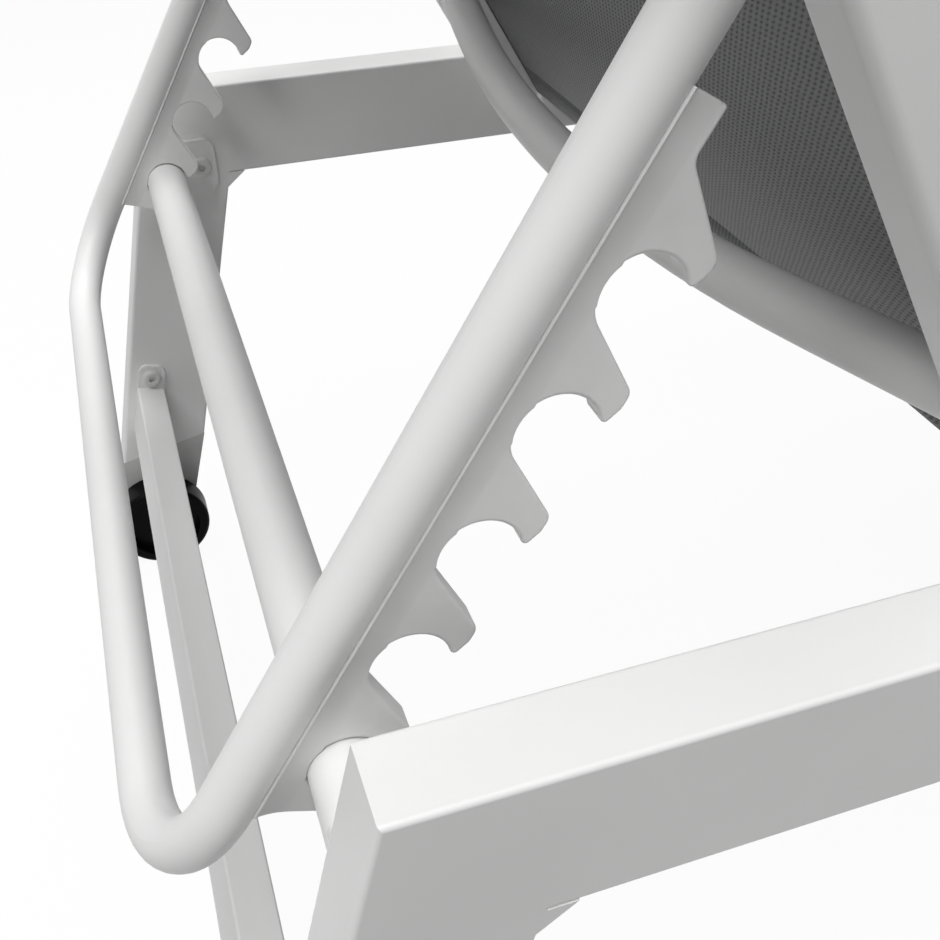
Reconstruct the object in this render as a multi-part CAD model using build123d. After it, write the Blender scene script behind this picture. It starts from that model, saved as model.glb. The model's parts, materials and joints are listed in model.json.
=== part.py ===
from build123d import *
import os
from math import cos, radians, sin, sqrt, tan

# A sun lounger: tube frame on two wheels and two feet, reclining backrest, notched prop.
# Millimetres. While the pieces are made, x runs from the head end of the rails to the
# foot end, y to the left of someone lying on it, and z = 0 is the top of the rails.
# At the end everything moves so that the origin is at the middle of the footprint.

# Side rails and legs
RAIL_TOP = 370.0          # rail top above the ground
RAIL_LENGTH = 1480.0
RAIL_IN = 280.0           # inner face of a rail, from the middle plane
TUBE_THICK = 30.0
TUBE_DEEP = 60.0
TUBE_WALL = 1.8
EDGE_R = 1.8
LEG_LEAN = 13.58          # degrees from upright, out towards the ends
LEG_MITRE = 47.1          # where the inner elbow lies, along the rail
ELBOW_WELD = 10.0
HEAD_LEG_DROP = 268.0     # lower end of the metal head leg, below the rail top
FOOT_LEG_DROP = 352.0
FOOT_R = 1.5              # rounding under the moulded foot
RAIL_OUT = RAIL_IN + TUBE_THICK

# Wheels and what holds them
WHEEL_R = 36.0
WHEEL_WIDE = 23.4
WHEEL_GAP = 0.6
WHEEL_X = -48.5
AXLE_R = 4.0
RUN_GAP = 0.05            # radial gap where a part turns on a pin
RIM_R = 3.5               # rounding of the tread's edges
RIM_WIDE = 8.0
HUB_R = 11.0
DISH_DEEP = 7.0
AXLE_HEAD_R = 7.0
AXLE_HEAD_HIGH = 3.0
AXLE_HEAD_GAP = 0.4
SOCKET_DROP = 358.0
SOCKET_TAPER = (6.0, 4.0) # how far the moulded end draws in at its tip, outer and inner edge
SOCKET_TIP_R = 9.0
SOCKET_EDGE = 1.5
SPIGOT_LONG = 22.0
SPIGOT_SLACK = 0.2

# Cross bar that the prop rests on
BAR_X = 2.35
BAR_Z = -46.55
BAR_R = 12.5
ROUND_WALL = 1.5
PLATE_THICK = 3.0
FLANGE_TOP = -33.6
FLANGE_LOW = -70.0
FLANGE_RIGHT = 38.2
FLANGE_LEFT = -8.5
FLANGE_R = 8.0
FLANGE_BOLT = (28.1, -51.9)

# Flat stretchers between the legs
STRETCHER = (-35.7, -217.4)   # middle of its top face
STRETCHER_WIDE = 20.0
STRETCHER_DEEP = 40.0
STRETCHER_R = 1.5
TAB_WIDE = 19.0
TAB_HIGH = 19.0
TAB_R = 6.0
TAB_BOLT_UP = 9.4

# Bolts
BUTTON_R = 6.5
BUTTON_HIGH = 3.6
SOCKET_R = 2.6
SOCKET_DEEP = 2.2
SHANK_R = 3.0
SHANK_LONG = 9.0
PIVOT_HEAD_R = 8.0
PIVOT_SHANK_R = 4.0
HINGE_WASHER_R = 10.5
PROP_WASHER_R = 9.0
WASHER_GAP = 0.1

# Backrest
BACK_ANGLE = 59.1         # degrees above level, as in the photograph
FLAT_DROP = 17.0          # hinge axis below the rail top
HINGE_X = 251.6
BACK_LONG = 700.0         # from the hinge to the top end
SIDE_IN = 257.0           # inner face of a backrest side member
SIDE_OUT = 279.0
SIDE_DEEP = 33.0
SIDE_R = 4.0
SIDE_WALL = 1.6
SLING_UP = 26.2           # sling plane, from the rear face of the side members
SLING_THICK = 1.0
SLIT = 2.4                # slot that the sling's edge runs in
CORD_R = 3.0              # rod sewn into the sling's edge
CORD_IN = 5.2             # middle of that rod, from the member's inner face
BACK_SLING_LOW = -12.0    # the sling's lower edge, along the backrest from the hinge

# Bowed tubes behind the slings
BRACE_R = 11.0
BOW_RADIUS = 1000.0
BOW_STRAIGHT = 186.0      # from here outwards, from the middle plane, the tube is straight
BRACE_MIDDLE = (181.1, 30.7)
BOW_TILT = 36.1           # degrees above level of the direction in which it bows

# Prop: one bent tube with a notched rack on each arm
PROP_R = 9.5
PROP_Y = 246.5
PROP_FOOT = (-63.9, -101.5)
PROP_ANGLE = 58.89
PROP_CORNER_R = 55.0
PROP_WALL = 1.5
PIVOT_U = 349.0           # pivot, along the arm from the foot of the prop
PROP_END = 9.0            # tube beyond the pivot
PLUG_HIGH = 1.5

# Rack, in u along the arm and v square to it
RACK_THICK = 10.5
RACK_EDGE = 1.2           # rounding of the plate's edges
NOTCHES = 5
NOTCH_PITCH = 43.0
NOTCH_U = 81.5            # lowest notch
NOTCH_V = 28.5
NOTCH_R = 12.9
NOTCH_FROM = -147.0       # degrees over which a notch's arc runs
NOTCH_TO = 48.0
HOOK_LONG = 2.6           # straight from the end of the arc to the tip
CREST_U = 13.4            # where the crest of a tooth becomes level, from its notch's middle
TOOTH_U = 18.7            # outer corner of a tooth, from its notch's middle
TOOTH_V = 42.4
LAST_TOOTH_U = 270.6
RACK_LOW = 56.8           # lower end, at the tube's middle line
RACK_LOW_LEAN = 0.16      # how much it rises towards the teeth
RACK_HIGH = 303.2
STRIP_V = 19.5
STRIP_FROM = 289.0
SADDLE_WALL = 1.1
SADDLE_HALF = 50.0        # degrees to each side that the saddle reaches round the tube
SADDLE_TURN = 42.0        # degrees at which the saddle's outside turns into the fillet
WEB_V = 17.0              # where the fillet reaches the plate
WEB_BEND = 0.35           # how deep that fillet is hollowed
END_SPARE = 5.0           # drawn longer than the rack, then cut to its ends
HEEL_R = 4.0
TIP_R = 1.5
CREST_R = 5.0
HOLLOW_R = 5.0            # between the last tooth and the strip above it
STRIP_R = 1.0

# Seat
SEAT_FROM = 277.0
SEAT_TO = 1466.0
SEAT_BRACES = (372.0, 800.0, 1228.0)
END_BAR_IN = 22.0         # end bars, in from the ends of the side members
SLING_INSET = 7.0
CAP_THICK = 2.5
SEAT_BOLTS = (330.0, 870.0, 1410.0)

UP = (-cos(radians(BACK_ANGLE)), 0, sin(radians(BACK_ANGLE)))
ARM = (cos(radians(PROP_ANGLE)), 0, sin(radians(PROP_ANGLE)))
PIVOT = (PROP_FOOT[0] + PIVOT_U * ARM[0], PROP_FOOT[1] + PIVOT_U * ARM[2])
LEG_RUN = tan(radians(LEG_LEAN))


def slab(face, y_low, y_high):
    """a face drawn in x and z, made solid between two values of y"""
    plane = Plane(origin=(0, y_high, 0), x_dir=(1, 0, 0), z_dir=(0, -1, 0))
    return extrude(plane * face, amount=y_high - y_low)


def polygon(*points):
    return make_face(Polyline(*points, close=True))


def y_rod(x, z, radius, y_low, y_high):
    return slab(Pos(x, z) * Circle(radius), y_low, y_high)


def y_pipe(x, z, radius, wall, y_low, y_high):
    return slab(Pos(x, z) * (Circle(radius) - Circle(radius - wall)), y_low, y_high)


def mirrored(shape):
    return mirror(shape, about=Plane.XZ)


def group(shapes):
    return Compound([solid for shape in shapes for solid in shape.solids()])


def pair(*shapes):
    """the same pieces on both sides, as one group"""
    return group([*shapes, *[mirrored(shape) for shape in shapes]])


def turned(shape):
    """the same piece at the other end of the rails, on the other side"""
    return Pos(RAIL_LENGTH / 2) * Rot(0, 0, 180) * Pos(-RAIL_LENGTH / 2) * shape


def leg_point(inward, down):
    """a place on the head leg: inward from its outer edge, level, and down from the rail top"""
    return (inward - down * LEG_RUN, -down)


def button_bolt(x, z, y_face, y_dir, length=SHANK_LONG, head_r=BUTTON_R, shank_r=SHANK_R):
    """head on the face, socket in the head, shank through the face; y_dir points out of the face"""
    head = Pos(0, 0, BUTTON_HIGH / 2) * Cylinder(head_r, BUTTON_HIGH)
    head = fillet(head.edges().group_by(Axis.Z)[-1], BUTTON_HIGH * 0.6)
    drive = extrude(Pos(0, 0, BUTTON_HIGH - SOCKET_DEEP) * RegularPolygon(SOCKET_R, 6), SOCKET_DEEP + 1)
    shank = Pos(0, 0, -length / 2) * Cylinder(shank_r, length)
    bolt = head - drive + shank
    return Plane(origin=(x, y_face, z), x_dir=(1, 0, 0), z_dir=(0, y_dir, 0)) * bolt


# Side frames

def rail():
    """left rail, mitred at both ends"""
    outline = polygon((0, 0), (RAIL_LENGTH, 0), (RAIL_LENGTH - LEG_MITRE, -TUBE_DEEP),
                      (LEG_MITRE, -TUBE_DEEP))
    body = slab(outline, RAIL_IN, RAIL_OUT)
    long_edges = body.edges().filter_by(Axis.X)
    body = fillet(long_edges, EDGE_R)
    hollow = Pos(RAIL_LENGTH / 2, (RAIL_IN + RAIL_OUT) / 2, -TUBE_DEEP / 2) * Box(
        RAIL_LENGTH + 20, TUBE_THICK - 2 * TUBE_WALL, TUBE_DEEP - 2 * TUBE_WALL)
    body -= hollow
    body -= y_rod(HINGE_X, -FLAT_DROP, PIVOT_SHANK_R, RAIL_IN - 1, RAIL_OUT + 1)
    for x in SEAT_BOLTS:
        body -= y_rod(x, -FLAT_DROP, SHANK_R, RAIL_IN - 1, RAIL_OUT + 1)
    return body


def leg(drop):
    """left head leg from the mitre down, its lower end square to its length"""
    wide = LEG_MITRE + TUBE_DEEP * LEG_RUN
    low_in = leg_point(wide, drop)
    step = wide * cos(radians(LEG_LEAN)) * sin(radians(LEG_LEAN))
    low_out = leg_point(0, drop + step)
    weld = leg_point(wide, TUBE_DEEP + ELBOW_WELD)
    outline = polygon((0, 0), (LEG_MITRE, -TUBE_DEEP), (LEG_MITRE + ELBOW_WELD, -TUBE_DEEP),
                      weld, low_in, low_out)
    body = slab(outline, RAIL_IN, RAIL_OUT)
    along = Vector(-sin(radians(LEG_LEAN)), 0, -cos(radians(LEG_LEAN)))
    edges = [e for e in body.edges() if abs(abs((e @ 1 - e @ 0).normalized().dot(along)) - 1) < 1e-4]
    body = fillet(edges, EDGE_R)
    inset = TUBE_WALL / cos(radians(LEG_LEAN))
    top, low = -20, drop + 60
    hollow = polygon(leg_point(inset, top), leg_point(wide - inset, top),
                     leg_point(wide - inset, low), leg_point(inset, low))
    body -= slab(hollow, RAIL_IN + TUBE_WALL, RAIL_OUT - TUBE_WALL)
    return body


def leg_section(inset, drop_from, drop_to, y_inset):
    """a block that follows the leg, drawn in from its faces"""
    wide = LEG_MITRE + TUBE_DEEP * LEG_RUN
    cut = inset / cos(radians(LEG_LEAN))
    step = wide * cos(radians(LEG_LEAN)) * sin(radians(LEG_LEAN))
    face = polygon(leg_point(wide - cut, drop_from), leg_point(cut, drop_from + step),
                   leg_point(cut, drop_to + step), leg_point(wide - cut, drop_to))
    return slab(face, RAIL_IN + y_inset, RAIL_OUT - y_inset)


def head_leg():
    body = leg(HEAD_LEG_DROP) - y_rod(*FLANGE_BOLT, SHANK_R, RAIL_IN - 1, RAIL_IN + 5)
    return body - y_rod(*tab_bolt_place(), SHANK_R, RAIL_IN - 1, RAIL_IN + 5)


def long_leg():
    """like a head leg, but cut level lower down"""
    body = leg(FOOT_LEG_DROP + 60)
    below = Pos(0, (RAIL_IN + RAIL_OUT) / 2, -FOOT_LEG_DROP - 200) * Box(600, 100, 400)
    body -= below
    return body - y_rod(*tab_bolt_place(), SHANK_R, RAIL_IN - 1, RAIL_IN + 5)


def wheel_socket():
    """moulded end of a head leg, which carries the axle"""
    wide = LEG_MITRE + TUBE_DEEP * LEG_RUN
    step = wide * cos(radians(LEG_LEAN)) * sin(radians(LEG_LEAN))
    face = polygon(leg_point(wide, HEAD_LEG_DROP), leg_point(0, HEAD_LEG_DROP + step),
                   leg_point(SOCKET_TAPER[0], SOCKET_DROP),
                   leg_point(wide - SOCKET_TAPER[1], SOCKET_DROP))
    body = slab(face, RAIL_IN, RAIL_OUT)
    body = fillet(body.edges().filter_by(Axis.Y).group_by(Axis.Z)[0], SOCKET_TIP_R)
    outer = body.faces().sort_by(Axis.Y)[-1]
    body = chamfer(outer.edges().group_by(Axis.Z)[0], SOCKET_EDGE)
    slack = TUBE_WALL + SPIGOT_SLACK
    body += leg_section(slack, HEAD_LEG_DROP - SPIGOT_LONG, HEAD_LEG_DROP + 2, slack)
    return body - y_rod(WHEEL_X, WHEEL_R - RAIL_TOP, AXLE_R, RAIL_IN - 1, RAIL_OUT + 1)


def leg_cap():
    """moulded foot that closes the lower end of a long leg"""
    wide = LEG_MITRE + TUBE_DEEP * LEG_RUN
    top = FOOT_LEG_DROP
    face = polygon(leg_point(0, top), leg_point(wide, top), leg_point(wide, RAIL_TOP),
                   leg_point(0, RAIL_TOP))
    body = slab(face, RAIL_IN, RAIL_OUT)
    body = fillet(body.edges().group_by(Axis.Z)[0], FOOT_R)
    inset = (TUBE_WALL + SPIGOT_SLACK) / cos(radians(LEG_LEAN))
    plug = polygon(leg_point(inset, top - SPIGOT_LONG), leg_point(wide - inset, top - SPIGOT_LONG),
                   leg_point(wide - inset, top + 2), leg_point(inset, top + 2))
    slack = TUBE_WALL + SPIGOT_SLACK
    return body + slab(plug, RAIL_IN + slack, RAIL_OUT - slack)


# Cross bar and stretchers

def flange():
    """plate on the rail's inner face that carries the end of the cross bar"""
    outline = polygon((FLANGE_LEFT, FLANGE_TOP), (FLANGE_RIGHT, FLANGE_TOP),
                      (FLANGE_RIGHT, FLANGE_LOW), (FLANGE_LEFT - 3, FLANGE_LOW))
    outline = fillet(outline.vertices(), FLANGE_R)
    body = slab(outline, RAIL_IN - PLATE_THICK, RAIL_IN)
    body -= y_rod(BAR_X, BAR_Z, BAR_R, RAIL_IN - 10, RAIL_IN + 1)
    return body - y_rod(*FLANGE_BOLT, SHANK_R, RAIL_IN - 10, RAIL_IN + 1)


def flange_bolt():
    return button_bolt(*FLANGE_BOLT, RAIL_IN - PLATE_THICK, -1)


def down_leg(x, z, far):
    return (x - far * sin(radians(LEG_LEAN)), z - far * cos(radians(LEG_LEAN)))


def tab_bolt_place():
    return down_leg(*STRETCHER, -TAB_BOLT_UP)


def leaning_block(wide, low, high):
    """face square to the leg: low and high are distances down the leg from the stretcher's top"""
    lean = Plane(origin=(*STRETCHER, 0), x_dir=(cos(radians(LEG_LEAN)), -sin(radians(LEG_LEAN)), 0))
    return lean * Pos(0, -(low + high) / 2) * Rectangle(wide, high - low)


def stretcher():
    outer = leaning_block(STRETCHER_WIDE, 0, STRETCHER_DEEP)
    outer = fillet(outer.vertices(), STRETCHER_R)
    inner = leaning_block(STRETCHER_WIDE - 2 * ROUND_WALL, ROUND_WALL, STRETCHER_DEEP - ROUND_WALL)
    return slab(outer - inner, -RAIL_IN, RAIL_IN)


def stretcher_tab():
    face = leaning_block(TAB_WIDE, -TAB_HIGH, 0)
    face = fillet(face.vertices().sort_by(Axis.Y)[-2:], TAB_R)
    body = slab(face, RAIL_IN - PLATE_THICK, RAIL_IN)
    return body - y_rod(*tab_bolt_place(), SHANK_R, RAIL_IN - 10, RAIL_IN + 1)


def tab_bolt():
    return button_bolt(*tab_bolt_place(), RAIL_IN - PLATE_THICK, -1)


# Side members that hold a sling: section with one chamber and a keyhole slot

def member_section(y_in, y_out):
    """drawn with its rear face at zero and its inner face at y_in; first axis is y"""
    wide = y_out - y_in
    outer = Pos(y_in + wide / 2, SIDE_DEEP / 2) * RectangleRounded(wide, SIDE_DEEP, SIDE_R)
    chamber_top = SLING_UP - CORD_R - 0.3 - SIDE_WALL
    chamber = Pos(y_in + wide / 2, (SIDE_WALL + chamber_top) / 2) * RectangleRounded(
        wide - 2 * SIDE_WALL, chamber_top - SIDE_WALL, SIDE_R - SIDE_WALL)
    channel = Pos(y_in + CORD_IN, SLING_UP) * Circle(CORD_R + 0.3)
    slit = Pos(y_in + CORD_IN / 2 - 1, SLING_UP) * Rectangle(CORD_IN + 2, SLIT)
    return outer - chamber - channel - slit


def along_back(face, low, high):
    """a section drawn in y and forwards from the rear face, made solid between two heights"""
    up = Vector(*UP)
    forward = Vector(up.Z, 0, -up.X)
    top = Vector(HINGE_X, 0, -FLAT_DROP) + up * high - forward * (SIDE_DEEP / 2)
    plane = Plane(origin=top, x_dir=(0, 1, 0), z_dir=-up)
    return extrude(plane * face, amount=high - low)


def back_side_plane(y=0.0):
    """side view of the backrest: first axis up from the hinge, second forwards"""
    return Plane(origin=(HINGE_X, y, -FLAT_DROP), x_dir=UP, z_dir=(0, 1, 0))


def back_rod(along, forward, radius, y_low, y_high):
    """rod across the backrest; forward is measured from the rear face"""
    circle = back_side_plane(y_low) * Pos(along, forward - SIDE_DEEP / 2) * Circle(radius)
    return extrude(circle, amount=y_high - y_low, dir=(0, 1, 0))


def back_member():
    """left side member, its lower end rounded about the hinge"""
    half = SIDE_DEEP / 2
    body = along_back(member_section(SIDE_IN, SIDE_OUT), -half, BACK_LONG)
    keep = Rectangle(BACK_LONG, SIDE_DEEP + 2, align=(Align.MIN, Align.CENTER)) + Circle(half)
    body &= extrude(back_side_plane(SIDE_IN - 1) * keep, amount=SIDE_OUT - SIDE_IN + 2, dir=(0, 1, 0))
    body -= back_rod(0, half, PIVOT_SHANK_R + RUN_GAP, SIDE_IN - 1, SIDE_OUT + 1)
    return body - y_rod(*PIVOT, PIVOT_SHANK_R, SIDE_IN - 1, SIDE_IN + 6)


def back_brace():
    """bowed tube between the side members, behind the sling"""
    return bowed_tube(BRACE_MIDDLE, BOW_TILT)


def bow_sag(y):
    """how far the straight ends' line lies from the bowed tube's middle, at y from the middle plane"""
    deep = sqrt(BOW_RADIUS ** 2 - BOW_STRAIGHT ** 2)
    return BOW_RADIUS - deep + (y - BOW_STRAIGHT) * BOW_STRAIGHT / deep


def bowed_tube(middle, tilt):
    """tube between the side members, bowed in its middle part; its ends lie towards the tilt"""
    reach = SIDE_IN + 15

    def place(y, sag):
        return (middle[0] + sag * cos(radians(tilt)), y, middle[1] + sag * sin(radians(tilt)))

    path = FilletPolyline(place(-reach, bow_sag(reach)), place(0, bow_sag(0)),
                          place(reach, bow_sag(reach)), radius=BOW_RADIUS)
    ring = Plane(origin=path @ 0, z_dir=path % 0) * (Circle(BRACE_R) - Circle(BRACE_R - ROUND_WALL))
    tube = sweep(ring, path=path)
    return tube & (Pos(middle[0], 0, middle[1]) * Box(300, 2 * SIDE_IN, 300))


def back_end_bar():
    outer = back_rod(BACK_LONG - END_BAR_IN, BRACE_R, BRACE_R, -SIDE_IN, SIDE_IN)
    return outer - back_rod(BACK_LONG - END_BAR_IN, BRACE_R, BRACE_R - ROUND_WALL, -SIDE_IN, SIDE_IN)


def back_sling():
    half = SIDE_IN + CORD_IN - CORD_R - 0.1
    sheet = Pos(0, SLING_UP) * Rectangle(2 * half, SLING_THICK)
    return along_back(sheet, BACK_SLING_LOW, BACK_LONG - SLING_INSET)


def back_cord():
    circle = Pos(SIDE_IN + CORD_IN, SLING_UP) * Circle(CORD_R)
    return along_back(circle, BACK_SLING_LOW, BACK_LONG - SLING_INSET)


def back_cap():
    """moulded cap on the top end of a side member"""
    wide = SIDE_OUT - SIDE_IN
    face = Pos(SIDE_IN + wide / 2, SIDE_DEEP / 2) * RectangleRounded(wide, SIDE_DEEP, SIDE_R)
    cap = along_back(face, BACK_LONG, BACK_LONG + CAP_THICK)
    plug_high = SLING_UP - CORD_R - 2 * SIDE_WALL - 1.0
    plug = Pos(SIDE_IN + wide / 2, SIDE_WALL + 0.3 + plug_high / 2) * Rectangle(
        wide - 2 * SIDE_WALL - 0.6 - 2 * SIDE_WALL, plug_high - 2 * SIDE_WALL)
    return cap + along_back(plug, BACK_LONG - 12, BACK_LONG + CAP_THICK / 2)


def hinge_bolt():
    """through the rail and the side member, head on the rail's outer face"""
    length = RAIL_OUT - SIDE_IN - 3
    return button_bolt(HINGE_X, -FLAT_DROP, RAIL_OUT, 1, length, PIVOT_HEAD_R, PIVOT_SHANK_R)


def hinge_washer():
    ring = Pos(HINGE_X, -FLAT_DROP) * (Circle(HINGE_WASHER_R) - Circle(PIVOT_SHANK_R))
    return slab(ring, SIDE_OUT + WASHER_GAP, RAIL_IN)


# Prop

def prop_plane(y=0.0):
    """side view of the prop: first axis up the arm, second square to it, towards the foot end"""
    return Plane(origin=(PROP_FOOT[0], y, PROP_FOOT[1]), x_dir=ARM, z_dir=(0, 1, 0))


def prop_tube():
    top = PIVOT_U + PROP_END
    x, z = PROP_FOOT
    end = (x + top * ARM[0], z + top * ARM[2])
    path = FilletPolyline((end[0], -PROP_Y, end[1]), (x, -PROP_Y, z), (x, PROP_Y, z),
                          (end[0], PROP_Y, end[1]), radius=PROP_CORNER_R)
    ring = Plane(origin=path @ 0, z_dir=path % 0) * (Circle(PROP_R) - Circle(PROP_R - PROP_WALL))
    body = sweep(ring, path=path)
    hole = y_rod(*PIVOT, PIVOT_SHANK_R + RUN_GAP, -PROP_Y - 20, PROP_Y + 20)
    return body - hole


def prop_plug():
    """moulded plug in the top end of the left arm"""
    top = PIVOT_U + PROP_END
    place = Plane(origin=(PROP_FOOT[0] + top * ARM[0], PROP_Y, PROP_FOOT[1] + top * ARM[2]), z_dir=ARM)
    cap = extrude(place * Circle(PROP_R), amount=PLUG_HIGH)
    cap = fillet(cap.edges().filter_by(GeomType.CIRCLE).sort_by(Axis.Z)[-1], PLUG_HIGH * 0.66)
    stub = extrude(place * Circle(PROP_R - PROP_WALL - 0.1), amount=PIVOT_SHANK_R + PLUG_HIGH - PROP_END)
    return cap + stub


def pivot_bolt():
    """turns in the left arm, fixed in the side member"""
    y_head = PROP_Y - PROP_R - WASHER_GAP
    return button_bolt(*PIVOT, y_head, -1, SIDE_IN + 4 - y_head, PIVOT_HEAD_R, PIVOT_SHANK_R)


def pivot_washer():
    ring = Pos(*PIVOT) * (Circle(PROP_WASHER_R) - Circle(PIVOT_SHANK_R))
    return slab(ring, PROP_Y + PROP_R + WASHER_GAP, SIDE_IN)


def notch_place(u, angle, further=0.0):
    """a place on a notch's arc, or further on along the tangent there"""
    a = radians(angle)
    return (u + NOTCH_R * cos(a) - further * sin(a), NOTCH_V + NOTCH_R * sin(a) + further * cos(a))


def rack_outline():
    """side view of the rack, from the tube's middle line out to the teeth, and its corners by rounding"""
    low = (RACK_LOW, 0)
    heel = (NOTCH_U - NOTCH_PITCH + TOOTH_U, TOOTH_V)
    first = notch_place(NOTCH_U, NOTCH_FROM)
    # the sloping lower end meets the flank below the lowest notch
    slope = (first[0] - heel[0]) / (TOOTH_V - first[1])
    v = (heel[0] + slope * TOOTH_V - RACK_LOW) / (slope + RACK_LOW_LEAN)
    here = (RACK_LOW + RACK_LOW_LEAN * v, v)
    edges = [Line(low, here)]
    tips, crests, heels = [], [], []
    for i in range(NOTCHES):
        u = NOTCH_U + i * NOTCH_PITCH
        start, end = notch_place(u, NOTCH_FROM), notch_place(u, NOTCH_TO)
        tip = notch_place(u, NOTCH_TO, HOOK_LONG)
        crest = (u + CREST_U, TOOTH_V)
        heel = (u + TOOTH_U if i < NOTCHES - 1 else LAST_TOOTH_U, TOOTH_V)
        through = notch_place(u, (NOTCH_FROM + NOTCH_TO) / 2)
        edges += [Line(here, start), ThreePointArc(start, through, end), Line(end, tip), Line(tip, crest),
                  Line(crest, heel)]
        tips.append(tip)
        crests.append(crest)
        heels.append(heel)
        here = heel
    edges += [Polyline(here, (STRIP_FROM, STRIP_V), (RACK_HIGH, STRIP_V), (RACK_HIGH, 0), low)]
    face = make_face(edges)
    roundings = ((heels, HEEL_R), (crests, CREST_R), (tips, TIP_R), ([(STRIP_FROM, STRIP_V)], HOLLOW_R),
                 ([(RACK_HIGH, STRIP_V)], STRIP_R))
    for places, radius in roundings:
        face = fillet(corners_of(face, places), radius)
    return face


def corners_of(face, places):
    return [v for v in face.vertices() if any(abs(v.X - u) + abs(v.Y - w) < 1e-3 for u, w in places)]


def saddle_section():
    """across the arm: saddle round the tube with a hollow fillet on each side; first axis v"""
    outer_r = PROP_R + SADDLE_WALL
    lip = radians(SADDLE_HALF)
    half = RACK_THICK / 2
    join = radians(SADDLE_TURN)
    edges = []
    for side in (1, -1):
        lip_in = (PROP_R * cos(lip), side * PROP_R * sin(lip))
        lip_out = (outer_r * cos(lip), side * outer_r * sin(lip))
        turn = (outer_r * cos(join), side * outer_r * sin(join))
        mid = (outer_r * cos((lip + join) / 2), side * outer_r * sin((lip + join) / 2))
        web = (WEB_V, side * half)
        bend = ((turn[0] + web[0]) / 2, side * ((abs(turn[1]) + half) / 2 - WEB_BEND))
        edges += [Line(lip_in, lip_out), ThreePointArc(lip_out, mid, turn), ThreePointArc(turn, bend, web)]
    edges += [Line((WEB_V, -half), (WEB_V, half)),
              ThreePointArc((PROP_R * cos(lip), -PROP_R * sin(lip)), (PROP_R, 0),
                            (PROP_R * cos(lip), PROP_R * sin(lip)))]
    return make_face(edges)


def rack():
    """left rack: a plate with rounded teeth, on a saddle that fits the arm"""
    u_dir = Vector(*ARM)
    v_dir = Vector(ARM[2], 0, -ARM[0])
    foot = Vector(PROP_FOOT[0], PROP_Y, PROP_FOOT[1])
    outline = rack_outline()
    plate = extrude(prop_plane(PROP_Y - RACK_THICK / 2) * outline, amount=RACK_THICK, dir=(0, 1, 0))
    rims = []
    for edge in plate.edges():
        place = edge @ 0.5 - foot
        u, v = place.dot(u_dir), place.dot(v_dir)
        at_end = v < 0.01 or u > RACK_HIGH - 0.01 or u < RACK_LOW + RACK_LOW_LEAN * v + 0.01
        if abs(place.Y) > RACK_THICK / 2 - 0.01 and not at_end:
            rims.append(edge)
    plate = fillet(rims, RACK_EDGE)
    start = foot + u_dir * (RACK_LOW - END_SPARE)
    reach = RACK_HIGH - RACK_LOW + 2 * END_SPARE
    saddle = extrude(Plane(origin=start, x_dir=v_dir, z_dir=u_dir) * saddle_section(), amount=reach)
    saddle &= extrude(prop_plane(PROP_Y - 2 * PROP_R) * outline, amount=4 * PROP_R, dir=(0, 1, 0))
    arm = extrude(Plane(origin=start, z_dir=u_dir) * Circle(PROP_R), amount=reach)
    return (plate - arm) + saddle


# Seat

def seat_plane(x):
    """section plane across the seat: first axis y, second up from the members' under face"""
    return Plane(origin=(x, 0, -FLAT_DROP - SIDE_DEEP / 2), x_dir=(0, 1, 0), z_dir=(1, 0, 0))


def seat_member():
    body = extrude(seat_plane(SEAT_FROM) * member_section(SIDE_IN, RAIL_IN), amount=SEAT_TO - SEAT_FROM)
    for x in SEAT_BOLTS:
        body -= y_rod(x, -FLAT_DROP, SHANK_R, RAIL_IN - 4, RAIL_IN + 1)
    return body


def seat_bolts():
    return pair(*[button_bolt(x, -FLAT_DROP, RAIL_OUT, 1, TUBE_THICK + 4) for x in SEAT_BOLTS])


def seat_brace(x):
    return bowed_tube((x, -FLAT_DROP - SIDE_DEEP / 2 + BRACE_R - bow_sag(SIDE_IN)), 90)


def seat_end_bar():
    z = -FLAT_DROP - SIDE_DEEP / 2 + BRACE_R
    return y_pipe(SEAT_TO - END_BAR_IN, z, BRACE_R, ROUND_WALL, -SIDE_IN, SIDE_IN)


def seat_sling():
    half = SIDE_IN + CORD_IN - CORD_R - 0.1
    sheet = Pos(0, SLING_UP) * Rectangle(2 * half, SLING_THICK)
    start = SEAT_FROM + SLING_INSET
    return extrude(seat_plane(start) * sheet, amount=SEAT_TO - SLING_INSET - start)


def seat_cord():
    start = SEAT_FROM + SLING_INSET
    place = Pos(SIDE_IN + CORD_IN, SLING_UP)
    return extrude(seat_plane(start) * place * Circle(CORD_R), amount=SEAT_TO - SLING_INSET - start)


def seat_cap():
    """moulded cap on the foot end of a seat member"""
    wide = RAIL_IN - SIDE_IN
    face = Pos(SIDE_IN + wide / 2, SIDE_DEEP / 2) * RectangleRounded(wide, SIDE_DEEP, SIDE_R)
    return extrude(seat_plane(SEAT_TO) * face, amount=CAP_THICK)


# Wheels

def wheel():
    """left wheel: tread, web and hub in one moulding"""
    y_out = RAIL_IN - WHEEL_GAP
    y_in = y_out - WHEEL_WIDE
    z = WHEEL_R - RAIL_TOP
    body = y_rod(WHEEL_X, z, WHEEL_R, y_in, y_out)
    rims = body.edges().filter_by(GeomType.CIRCLE)
    body = fillet(rims, RIM_R)
    ring = Pos(WHEEL_X, z) * (Circle(WHEEL_R - RIM_WIDE) - Circle(HUB_R))
    body -= slab(ring, y_in - 1, y_in + DISH_DEEP)
    body -= slab(ring, y_out - DISH_DEEP, y_out + 1)
    return body - y_rod(WHEEL_X, z, AXLE_R + RUN_GAP, y_in - 5, y_out + 5)


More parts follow.
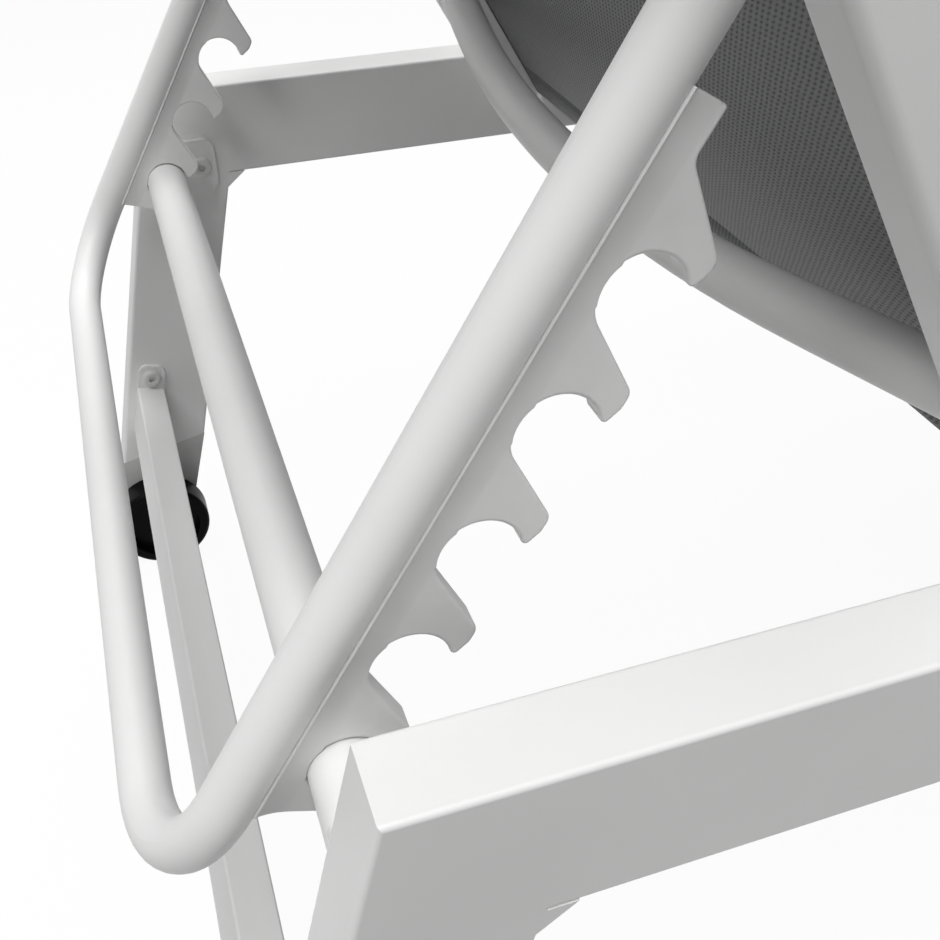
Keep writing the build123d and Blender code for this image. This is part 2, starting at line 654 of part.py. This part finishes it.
def axle_bolt():
    """through the wheel and the moulded leg end, with a head at each end"""
    y_head = RAIL_IN - WHEEL_GAP - WHEEL_WIDE - AXLE_HEAD_GAP
    z = WHEEL_R - RAIL_TOP
    body = y_rod(WHEEL_X, z, AXLE_R, y_head, RAIL_OUT)
    body += y_rod(WHEEL_X, z, AXLE_HEAD_R, y_head - AXLE_HEAD_HIGH, y_head)
    body += y_rod(WHEEL_X, z, AXLE_HEAD_R, RAIL_OUT, RAIL_OUT + AXLE_HEAD_HIGH)
    return fillet(body.edges().filter_by(GeomType.CIRCLE).sort_by(Axis.Y)[0], AXLE_HEAD_HIGH / 2)


def make():
    nodes = {}

    def both(name, shape):
        nodes[name + "_left"] = shape
        nodes[name + "_right"] = mirrored(shape)

    def foot_end(name, shape):
        nodes[name + "_left"] = turned(mirrored(shape))
        nodes[name + "_right"] = turned(shape)

    both("rail", rail())
    both("head_leg", head_leg())
    foot_end("foot_leg", long_leg())
    both("wheel_socket", wheel_socket())
    foot_end("foot_cap", leg_cap())
    nodes["cross_bar"] = y_pipe(BAR_X, BAR_Z, BAR_R, ROUND_WALL, -RAIL_IN, RAIL_IN)
    nodes["bar_flanges"] = pair(flange())
    nodes["flange_bolts"] = pair(flange_bolt())
    nodes["head_stretcher"] = stretcher()
    nodes["head_tabs"] = pair(stretcher_tab())
    nodes["head_tab_bolts"] = pair(tab_bolt())
    nodes["foot_stretcher"] = turned(stretcher())
    nodes["foot_tabs"] = turned(pair(stretcher_tab()))
    nodes["foot_tab_bolts"] = turned(pair(tab_bolt()))
    both("seat_member", seat_member())
    for i, x in enumerate(SEAT_BRACES):
        nodes[f"seat_brace_{i + 1}"] = seat_brace(x)
    nodes["seat_end_bar"] = seat_end_bar()
    nodes["seat_sling"] = seat_sling()
    both("seat_cord", seat_cord())
    nodes["seat_caps"] = pair(seat_cap())
    nodes["seat_bolts"] = seat_bolts()
    nodes["hinge_bolts"] = pair(hinge_bolt())
    nodes["hinge_washers"] = pair(hinge_washer())
    nodes["axle_bolts"] = pair(axle_bolt())
    both("wheel", wheel())
    both("back_member", back_member())
    nodes["back_brace"] = back_brace()
    nodes["back_end_bar"] = back_end_bar()
    nodes["back_sling"] = back_sling()
    both("back_cord", back_cord())
    nodes["back_caps"] = pair(back_cap())
    nodes["pivot_bolts"] = pair(pivot_bolt())
    nodes["pivot_washers"] = pair(pivot_washer())
    nodes["prop_tube"] = prop_tube()
    nodes["prop_plugs"] = pair(prop_plug())
    both("rack", rack())
    return nodes


def main():
    os.makedirs("parts", exist_ok=True)
    nodes = make()
    boxes = [shape.bounding_box() for shape in nodes.values()]
    middle = (min(box.min.X for box in boxes) + max(box.max.X for box in boxes)) / 2
    move = Pos(-middle, 0, RAIL_TOP)
    print("the head end of the rails is at x", round(-middle, 4))
    for name, shape in nodes.items():
        export_step(move * shape, f"parts/{name}.step")


main()
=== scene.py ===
import json
from math import cos, pi, radians, sin

import bmesh
import bpy
from mathutils import Matrix, Vector


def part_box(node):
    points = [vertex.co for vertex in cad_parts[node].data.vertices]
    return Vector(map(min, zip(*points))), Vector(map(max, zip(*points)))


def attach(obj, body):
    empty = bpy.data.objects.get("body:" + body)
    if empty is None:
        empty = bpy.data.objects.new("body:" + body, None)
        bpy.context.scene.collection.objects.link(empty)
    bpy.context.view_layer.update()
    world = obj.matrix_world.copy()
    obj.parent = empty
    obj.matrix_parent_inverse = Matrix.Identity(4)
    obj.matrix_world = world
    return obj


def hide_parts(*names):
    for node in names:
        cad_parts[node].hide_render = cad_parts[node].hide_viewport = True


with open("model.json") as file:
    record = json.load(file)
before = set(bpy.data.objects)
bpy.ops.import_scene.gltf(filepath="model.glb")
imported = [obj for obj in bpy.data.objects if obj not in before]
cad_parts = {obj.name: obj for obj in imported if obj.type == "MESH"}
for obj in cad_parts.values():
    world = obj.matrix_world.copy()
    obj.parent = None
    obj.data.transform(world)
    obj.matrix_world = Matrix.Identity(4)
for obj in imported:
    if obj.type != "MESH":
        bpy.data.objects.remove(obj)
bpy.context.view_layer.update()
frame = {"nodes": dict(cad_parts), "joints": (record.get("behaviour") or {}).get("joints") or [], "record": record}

# A sun lounger seen from above its head end. Metres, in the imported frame: x runs from the
# head end to the foot end, y to the left of someone lying on it, and z up from the ground.

MM = 0.001

# Places taken from the frame
RAIL_LOW, RAIL_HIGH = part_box("rail_left")
HEAD_X = RAIL_LOW.x
RAIL_TOP = RAIL_HIGH.z
JOINTS = {joint["name"]: joint for joint in frame["joints"]}
HINGE = Vector(JOINTS["recline"]["pos_m"])
BACK_ANGLE = radians(JOINTS["recline"]["range_deg"][1])
SIDE_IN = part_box("back_member_left")[0].y

# Camera: from the head end's corner of the rail tops, and the direction of view
CAMERA_OFFSET = Vector((-28.6 * MM, -476.0 * MM, 236.5 * MM))
CAMERA_YAW = radians(18.063)
CAMERA_PITCH = radians(36.93)
CAMERA_ROLL = radians(0.981)
CAMERA_LENS = 42.66


# Meshes

def mesh_object(name, bm, material, smooth=True):
    """an object at the origin that takes over the built mesh"""
    mesh = bpy.data.meshes.new(name)
    bmesh.ops.recalc_face_normals(bm, faces=bm.faces)
    bm.to_mesh(mesh)
    bm.free()
    for face in mesh.polygons:
        face.use_smooth = smooth
    mesh.materials.append(material)
    piece = bpy.data.objects.new(name, mesh)
    bpy.context.scene.collection.objects.link(piece)
    return piece


def ring_of_rings(bm, rings, closed=True):
    """skins a tube through rings of equal count; closed joins the last ring to the first"""
    made = [[bm.verts.new(point) for point in ring] for ring in rings]
    spans = list(zip(made, made[1:])) + ([(made[-1], made[0])] if closed else [])
    for here, after in spans:
        for i in range(len(here)):
            j = (i + 1) % len(here)
            bm.faces.new((here[i], here[j], after[j], after[i]))
    return made


def capped_tube(bm, rings):
    """a tube through rings, closed by a face at each end"""
    made = ring_of_rings(bm, rings, closed=False)
    bm.faces.new(made[0])
    bm.faces.new(list(reversed(made[-1])))


def spread(low, high, steps):
    """evenly spaced values from low to high, one more than the steps"""
    return [low + (high - low) * i / steps for i in range(steps + 1)]


# Materials

def shade(tone, share):
    """a colour made lighter or darker"""
    return tuple(part * share for part in tone)


class Nodes:
    """short ways to add nodes to a tree"""

    def __init__(self, tree):
        self.tree = tree

    def put(self, socket, value):
        """links another node's output, or sets a plain value"""
        if isinstance(value, bpy.types.NodeSocket):
            self.tree.links.new(value, socket)
        elif value is not None:
            socket.default_value = value

    def node(self, kind, output=0, settings=None, **inputs):
        node = self.tree.nodes.new(kind)
        for key, value in (settings or {}).items():
            setattr(node, key, value)
        for key, value in inputs.items():
            self.put(node.inputs[key.replace("_", " ")], value)
        return node.outputs[output]

    def math(self, operation, a, b=None):
        node = self.tree.nodes.new("ShaderNodeMath")
        node.operation = operation
        self.put(node.inputs[0], a)
        self.put(node.inputs[1], b)
        return node.outputs[0]

    def wave(self, turns, size):
        """a cosine of the given size, with one period for each turn"""
        return self.math("MULTIPLY", self.math("COSINE", self.math("MULTIPLY", turns, 2 * pi)), size)

    def noise(self, scale, detail):
        place = self.node("ShaderNodeTexCoord", "Object")
        return self.node("ShaderNodeTexNoise", "Fac", Vector=place, Scale=scale, Detail=detail)

    def remap(self, value, low, high, to_low, to_high):
        return self.node("ShaderNodeMapRange", 0, None, Value=value, From_Min=low, From_Max=high,
                         To_Min=to_low, To_Max=to_high)

    def blend(self, factor, a, b):
        node = self.tree.nodes.new("ShaderNodeMix")
        node.data_type = "RGBA"
        self.put(node.inputs[0], factor)
        self.put(node.inputs[6], (*a, 1.0) if isinstance(a, tuple) else a)
        self.put(node.inputs[7], (*b, 1.0) if isinstance(b, tuple) else b)
        return node.outputs[2]

    def patches(self, noise):
        """a noise's middle range stretched to run from 0 to 1"""
        return self.remap(noise, 0.3, 0.7, 0.0, 1.0)

    def rounded(self, radius):
        return self.node("ShaderNodeBevel", 0, {"samples": 4}, Radius=radius)

    def bump(self, height, strength, distance, normal=None):
        return self.node("ShaderNodeBump", 0, None, Height=height, Strength=strength,
                         Distance=distance, Normal=normal)

    def shown_rays(self):
        """1 for rays that see the background: from the camera, or by reflection or transmission"""
        path = self.tree.nodes.new("ShaderNodeLightPath")
        mirrored = self.math("MAXIMUM", path.outputs["Is Glossy Ray"], path.outputs["Is Transmission Ray"])
        return self.math("MAXIMUM", path.outputs["Is Camera Ray"], mirrored)


class Finish(Nodes):
    """a material with one principled shader"""

    def __init__(self, name):
        self.material = bpy.data.materials.new(name)
        self.material.use_nodes = True
        super().__init__(self.material.node_tree)
        self.shader = self.tree.nodes["Principled BSDF"]

    def set(self, **inputs):
        for key, value in inputs.items():
            self.put(self.shader.inputs[key.replace("_", " ")], value)
        return self.material


def powder_coat(name, tone, edge_r):
    """satin white paint: faint mottling, orange peel, a little dust; edge_r None keeps edges sharp"""
    finish = Finish(name)
    cloud = finish.noise(9.0, 3.0)
    fleck = finish.noise(420.0, 2.0)
    pale = shade(tone, 1.02)
    dull = shade(tone, 0.965)
    colour = finish.blend(finish.patches(cloud), pale, dull)
    specked = finish.blend(finish.remap(fleck, 0.62, 0.8, 0.0, 0.25), colour, dull)
    peel = finish.noise(750.0, 1.0)
    soft = finish.rounded(edge_r) if edge_r else None
    return finish.set(Base_Color=specked, Roughness=finish.remap(cloud, 0.3, 0.7, 0.40, 0.50),
                      Normal=finish.bump(peel, 0.10, 0.25 * MM, soft), IOR=1.48)


MOULDED_EDGE_R = 0.6 * MM


def moulded(name, tone, rough=0.55, grain=600.0, gloss=0.5):
    """moulded plastic with a fine spark-eroded grain"""
    finish = Finish(name)
    cloud = finish.noise(25.0, 3.0)
    colour = finish.blend(finish.patches(cloud), shade(tone, 1.05), shade(tone, 0.93))
    soft = finish.rounded(MOULDED_EDGE_R)
    peel = finish.noise(grain, 2.0)
    uneven = finish.remap(cloud, 0.3, 0.7, rough - 0.06, rough + 0.06)
    return finish.set(Base_Color=colour, Roughness=uneven, Specular_IOR_Level=gloss,
                      Normal=finish.bump(peel, 0.18, 0.2 * MM, soft))


WEAVE_ACROSS = 3.3 * MM      # from one hole to the next in a row
WEAVE_ALONG = 2.63 * MM      # from one row of holes to the next
WEAVE_STEP = 0.64            # how far each row is set off, as a share of the holes' spacing
WEAVE_DRIFT = 0.28           # how far yarns wander, in the same share


def mesh_weave(name, thread, hole):
    """coated yarn woven with small holes in slanting rows, with painted shade in the holes and a painted highlight
    on the yarn's crowns; coordinates are the sheet's own
    """
    finish = Finish(name)
    place = finish.node("ShaderNodeTexCoord", "Object")
    apart = finish.tree.nodes.new("ShaderNodeSeparateXYZ")
    finish.put(apart.inputs[0], place)
    drift = finish.remap(finish.noise(70.0, 2.0), 0.0, 1.0, -WEAVE_DRIFT, WEAVE_DRIFT)
    column = finish.math("ADD", finish.math("DIVIDE", apart.outputs[0], WEAVE_ACROSS), drift)
    row = finish.math("DIVIDE", apart.outputs[1], WEAVE_ALONG)
    slant = finish.math("ADD", column, finish.math("MULTIPLY", row, WEAVE_STEP))
    lattice = finish.math("ADD", finish.wave(slant, 1.0), finish.wave(row, 0.7))
    lattice = finish.math("ADD", lattice, finish.wave(finish.math("ADD", slant, row), 0.5))
    # holes of the weave: sunk in the bump, and painted near-black as painted shade in the holes
    hole_recess_and_shade = finish.remap(lattice, 0.9, 1.7, 0.0, 1.0)
    # yarn tops: raised in the bump, and painted lighter there and darker towards the holes as painted highlight
    # and painted shade
    crown_relief_and_highlight = finish.remap(lattice, -1.1, 0.9, 1.0, 0.0)
    cloud = finish.patches(finish.noise(14.0, 4.0))
    slub = finish.remap(finish.noise(260.0, 2.0), 0.35, 0.7, 0.0, 1.0)
    # one lighter tone, used for the painted highlight on the crowns and for random paler slubs
    light = shade(thread, 1.48)
    yarn = finish.blend(crown_relief_and_highlight, shade(thread, 0.58), light)
    yarn = finish.blend(finish.math("MULTIPLY", cloud, 0.25), yarn, thread)
    yarn = finish.blend(finish.math("MULTIPLY", slub, 0.3), yarn, light)
    colour = finish.blend(hole_recess_and_shade, yarn, hole)
    height = finish.math("SUBTRACT", finish.math("MULTIPLY", crown_relief_and_highlight, 0.5), hole_recess_and_shade)
    return finish.set(Base_Color=colour, Roughness=0.62, Sheen_Weight=0.08, Sheen_Roughness=0.4,
                      Normal=finish.bump(height, 0.55, 0.45 * MM))


FLOOR_MATT = (0.95, 0.95, 0.95, 1.0)
FLOOR_GLOW = 0.95                          # share of the seen floor that glows
FLOOR_BOUNCE = (0.40, 0.40, 0.40, 1.0)     # as a source of bounced light


def floor_finish():
    """pale floor: white where it is seen, with the shadow kept, and greyer as a source of bounced light"""
    finish = Finish("pale_floor")
    nodes, links = finish.tree.nodes, finish.tree.links
    seen = nodes.new("ShaderNodeMixShader")
    split = nodes.new("ShaderNodeMixShader")
    matt = nodes.new("ShaderNodeBsdfDiffuse")
    bounce = nodes.new("ShaderNodeBsdfDiffuse")
    glow = nodes.new("ShaderNodeEmission")
    matt.inputs[0].default_value = FLOOR_MATT
    bounce.inputs[0].default_value = FLOOR_BOUNCE
    seen.inputs[0].default_value = FLOOR_GLOW
    links.new(matt.outputs[0], seen.inputs[1])
    links.new(glow.outputs[0], seen.inputs[2])
    links.new(finish.shown_rays(), split.inputs[0])
    links.new(bounce.outputs[0], split.inputs[1])
    links.new(seen.outputs[0], split.inputs[2])
    links.new(split.outputs[0], nodes["Material Output"].inputs[0])
    nodes.remove(finish.shader)
    return finish.material


MATERIALS = {
    "frame_paint": powder_coat("white_powder_coat", (0.86, 0.86, 0.855), None),
    "rack": moulded("white_rack_moulding", (0.83, 0.83, 0.825), 0.45, 700.0),
    "bolt": powder_coat("painted_bolt", (0.70, 0.70, 0.69), 0.3 * MM),
    # the sling's second colour is the painted shade in the weave's holes
    "sling": mesh_weave("mesh_sling", (0.106, 0.108, 0.110), (0.004, 0.004, 0.0042)),
    "edge_rod": moulded("edge_rod", (0.72, 0.72, 0.71), 0.4),
    "washer": moulded("nylon_washer", (0.70, 0.70, 0.69), 0.45),
    "moulding": moulded("pale_moulding", (0.62, 0.62, 0.615)),
    "end_cap": moulded("pale_cap", (0.66, 0.66, 0.655)),
    "wheel": moulded("black_wheel", (0.0025, 0.0025, 0.0028), 0.34, 900.0, 0.05),
}
THREAD = moulded("sewing_thread", (0.11, 0.11, 0.112), 0.7, 1500.0)


def dress_nodes():
    """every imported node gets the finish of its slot"""
    for part in frame["record"]["subparts"]:
        node = frame["nodes"][part["node"]]
        node.data.materials.clear()
        node.data.materials.append(MATERIALS[part["material_slot"]])


# Slings

SHEET_THICK = 0.9 * MM
SHEET_SAG = 2.0 * MM
SHEET_ACROSS = 48            # faces across the sheet and along it
SHEET_ALONG = 64
HEM_DEEP = 24.0 * MM
HEM_THICK = 0.9 * MM
HEM_EDGE = 0.12 * MM         # pressed thin at its inner edge
HEM_GAP = 0.02 * MM          # between the hem and the sheet
HEM_FOLD = 1.1 * MM          # how far the fold bulges at the free end
HEM_FOLD_STEPS = 6
HEM_SIDE_GAP = 1.5 * MM
STITCH_SIDE_GAP = 4.0 * MM
STITCH_LONG = 2.5 * MM
STITCH_PITCH = 3.6 * MM
STITCH_R = 0.3 * MM
STITCH_ROWS = (5.0 * MM, 19.0 * MM)


def sling_place(origin, angle):
    """first axis across to the left, second up along the sling, third out of its upper face"""
    columns = ((0, 1, 0), (-cos(angle), 0, sin(angle)), (sin(angle), 0, cos(angle)))
    turn = Matrix(columns).transposed().to_4x4()
    return Matrix.Translation(origin) @ turn


class Sling:
    """one sheet held in the slots of two side members, with a sewn hem at each free end"""

    def __init__(self, node, body, angle, rise):
        self.node = node
        low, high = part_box(node)
        self.half = high.y
        if angle:
            slack = (SHEET_THICK / 2 - rise) * cos(angle)
            self.low = (low.z - HINGE.z + slack) / sin(angle)
            self.high = (high.z - HINGE.z - (SHEET_THICK / 2 + rise) * cos(angle)) / sin(angle)
        else:
            self.low = HINGE.x - high.x
            self.high = HINGE.x - low.x
        self.rise = rise
        self.sheet = self.make_sheet()
        for piece in (self.sheet, self.make_hem(1), self.make_hem(-1), self.make_stitches()):
            piece.matrix_world = sling_place(HINGE, angle)
            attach(piece, body)
        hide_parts(node)

    def level(self, x, y):
        """height of the sheet's middle over the members' middle line"""
        across = 1 - (x / self.half) ** 2
        share = (y - self.low) / (self.high - self.low)
        return self.rise - SHEET_SAG * across * 4 * share * (1 - share)

    def slab(self, bm, xs, ys):
        """closed sheet over a grid, with a face on each side of its middle"""
        grids = []
        for off in (-SHEET_THICK / 2, SHEET_THICK / 2):
            grid = [[bm.verts.new((x, y, self.level(x, y) + off)) for x in xs] for y in ys]
            grids.append(grid)
            for r in range(len(ys) - 1):
                for c in range(len(xs) - 1):
                    bm.faces.new((grid[r][c], grid[r][c + 1], grid[r + 1][c + 1], grid[r + 1][c]))
        under, over = grids
        rim = ([(0, c) for c in range(len(xs))] + [(r, len(xs) - 1) for r in range(1, len(ys))]
               + [(len(ys) - 1, c) for c in range(len(xs) - 2, -1, -1)]
               + [(r, 0) for r in range(len(ys) - 2, 0, -1)])
        for (a, b), (c, d) in zip(rim, rim[1:] + rim[:1]):
            bm.faces.new((under[a][b], under[c][d], over[c][d], over[a][b]))

    def make_sheet(self):
        bm = bmesh.new()
        xs = spread(-self.half, self.half, SHEET_ACROSS)
        ys = spread(self.low, self.high, SHEET_ALONG)
        self.slab(bm, xs, ys)
        return mesh_object(self.node + "_cloth", bm, MATERIALS["sling"])

    def make_hem(self, side):
        """cloth folded back under itself at one free end; side is 1 at the upper end"""
        bm = bmesh.new()
        end = self.high if side > 0 else self.low
        half = SIDE_IN - HEM_SIDE_GAP
        xs = spread(-half, half, SHEET_ACROSS)
        under = -SHEET_THICK / 2
        turn = []
        for angle in spread(0, pi, HEM_FOLD_STEPS):
            y = end - side * HEM_FOLD * (1 - sin(angle))
            turn.append((y, under - HEM_THICK * (1 - cos(angle)) / 2))
        inner = end - side * HEM_DEEP
        profile = [(inner, under - HEM_GAP), *turn, (inner, under - HEM_EDGE)]
        capped_tube(bm, [[(x, y, self.level(x, y) + z) for y, z in profile] for x in xs])
        where = "upper" if side > 0 else "lower"
        return mesh_object(f"{self.node}_hem_{where}", bm, MATERIALS["sling"])

    def make_stitches(self):
        """two rows of thread at each hem, seen on both faces of the cloth"""
        bm = bmesh.new()
        half = SIDE_IN - STITCH_SIDE_GAP
        count = int(2 * half / STITCH_PITCH)
        for end, side in ((self.low, 1), (self.high, -1)):
            for row in STITCH_ROWS:
                y = end + side * row
                hem = HEM_THICK + (HEM_EDGE - HEM_THICK) * row / HEM_DEEP
                for face in (SHEET_THICK / 2, -SHEET_THICK / 2 - hem):
                    for i in range(count):
                        x = -half + (i + 0.5) * STITCH_PITCH
                        self.stitch(bm, x, y, face)
        return mesh_object(self.node + "_stitches", bm, THREAD)

    def stitch(self, bm, x, y, face):
        """one stitch: a short square thread, thinner at its ends"""
        rings = []
        for share, thick in ((-1, 0.35), (-0.6, 1.0), (0.6, 1.0), (1, 0.35)):
            px = x + share * STITCH_LONG / 2
            centre = Vector((px, y, self.level(px, y) + face))
            rings.append([centre + STITCH_R * thick * Vector((0, cos(a), sin(a)))
                          for a in (pi / 4, 3 * pi / 4, 5 * pi / 4, 7 * pi / 4)])
        capped_tube(bm, rings)


def make_slings():
    """both slings lie equally far above their members' middle line"""
    low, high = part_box("seat_sling")
    rise = (low.z + high.z) / 2 - HINGE.z
    back = Sling("back_sling", "backrest", BACK_ANGLE, rise)
    seat = Sling("seat_sling", "frame", 0.0, rise)


# Welds: small painted fillets where a tube meets a side member

WELD = 1.3 * MM
WELD_STEPS = 72
# outline of the bead, out from the tube and off the plane, as shares of the bead's size
WELD_OUTLINE = ((-0.35, -0.35), (1.0, -0.35), (1.0, 0.05), (0.62, 0.26), (0.38, 0.44), (0.2, 0.68),
                (0.05, 1.0), (-0.35, 1.0))
WELDED = {"seat_end_bar": "frame", "back_end_bar": "backrest", "seat_brace_1": "frame",
          "seat_brace_2": "frame", "seat_brace_3": "frame", "back_brace": "backrest"}


def weld_ring(name, body, centre, radius, inward):
    """bead round a tube that ends on a plane y = const; inward is the sign of y off that plane"""
    bm = bmesh.new()
    rings = []
    for i in range(WELD_STEPS):
        angle = 2 * pi * i / WELD_STEPS
        reach = WELD * (1 + 0.10 * sin(18 * angle) + 0.05 * sin(7 * angle + 1))
        out = Vector((cos(angle), 0, sin(angle)))
        rings.append([Vector(centre) + out * (radius + along * reach)
                      + Vector((0, inward * off * reach, 0)) for along, off in WELD_OUTLINE])
    ring_of_rings(bm, rings)
    piece = mesh_object(name, bm, MATERIALS["frame_paint"])
    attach(piece, body)


def make_welds():
    """beads where the straight and bowed tubes, all of one size, meet the side members"""
    low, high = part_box("seat_end_bar")
    radius = (high.x - low.x) / 2
    for node, body in WELDED.items():
        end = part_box(node)[1]
        for side, name in ((1, "left"), (-1, "right")):
            centre = (end.x - radius, side * SIDE_IN, end.z - radius)
            weld_ring(f"{node}_weld_{name}", body, centre, radius, -side)


# Light, floor and camera

FLOOR_HALF = 12.0
SKY_TONE = (1.0, 1.0, 1.0, 1.0)
SKY_LIGHT = 0.10             # the background's strength as light
SKY_SEEN = 0.97              # and where it is seen
LIT_MIDDLE = Vector((HEAD_X + 0.1, 0, RAIL_TOP))


def make_stage():
    bm = bmesh.new()
    corners = ((-1, -1), (1, -1), (1, 1), (-1, 1))
    bm.faces.new([bm.verts.new((x * FLOOR_HALF, y * FLOOR_HALF, 0)) for x, y in corners])
    mesh_object("floor", bm, floor_finish(), False)
    world = bpy.context.scene.world or bpy.data.worlds.new("world")
    bpy.context.scene.world = world
    world.use_nodes = True
    sky = Nodes(world.node_tree)
    strength = sky.remap(sky.shown_rays(), 0.0, 1.0, SKY_LIGHT, SKY_SEEN)
    background = world.node_tree.nodes["Background"]
    background.inputs["Color"].default_value = SKY_TONE
    sky.put(background.inputs["Strength"], strength)


def area_light(name, offset, size, watts):
    """a lamp that points at the head end's middle, placed by its offset from there"""
    light = bpy.data.lights.new(name, "AREA")
    light.shape = "RECTANGLE"
    light.size = size[0]
    light.size_y = size[1]
    light.energy = watts
    lamp = bpy.data.objects.new(name, light)
    bpy.context.scene.collection.objects.link(lamp)
    lamp.location = LIT_MIDDLE + Vector(offset)
    lamp.rotation_euler = (LIT_MIDDLE - lamp.location).to_track_quat("-Z", "Y").to_euler()


def make_lights():
    area_light("key", (-0.66, -0.74, 1.95), (1.4, 1.4), 46.0)
    area_light("far_top", (0.1, 1.0, 1.9), (1.2, 1.2), 26.0)
    area_light("head_fill", (-1.5, -0.2, 0.15), (1.0, 0.8), 0.3)
    area_light("foot_fill", (0.9, -0.9, 0.9), (0.9, 0.7), 3.0)


def make_camera():
    """turned by its yaw and pitch, and then rolled about the direction of view"""
    forward = Vector((sin(CAMERA_YAW) * cos(CAMERA_PITCH), cos(CAMERA_YAW) * cos(CAMERA_PITCH),
                      -sin(CAMERA_PITCH)))
    level = Vector((cos(CAMERA_YAW), -sin(CAMERA_YAW), 0))
    down = forward.cross(level)
    right = level * cos(CAMERA_ROLL) + down * sin(CAMERA_ROLL)
    down = -level * sin(CAMERA_ROLL) + down * cos(CAMERA_ROLL)
    turn = Matrix((right, -down, -forward)).transposed().to_4x4()
    camera = bpy.data.cameras.new("camera")
    camera.lens = CAMERA_LENS
    camera.clip_start = 0.01
    seen = bpy.data.objects.new("camera", camera)
    bpy.context.scene.collection.objects.link(seen)
    corner = Vector((HEAD_X, 0, RAIL_TOP))
    seen.matrix_world = Matrix.Translation(corner + CAMERA_OFFSET) @ turn
    bpy.context.scene.camera = seen


make_camera()
dress_nodes()
make_slings()
make_welds()
make_stage()
make_lights()
bpy.context.scene.view_settings.view_transform = "Standard"
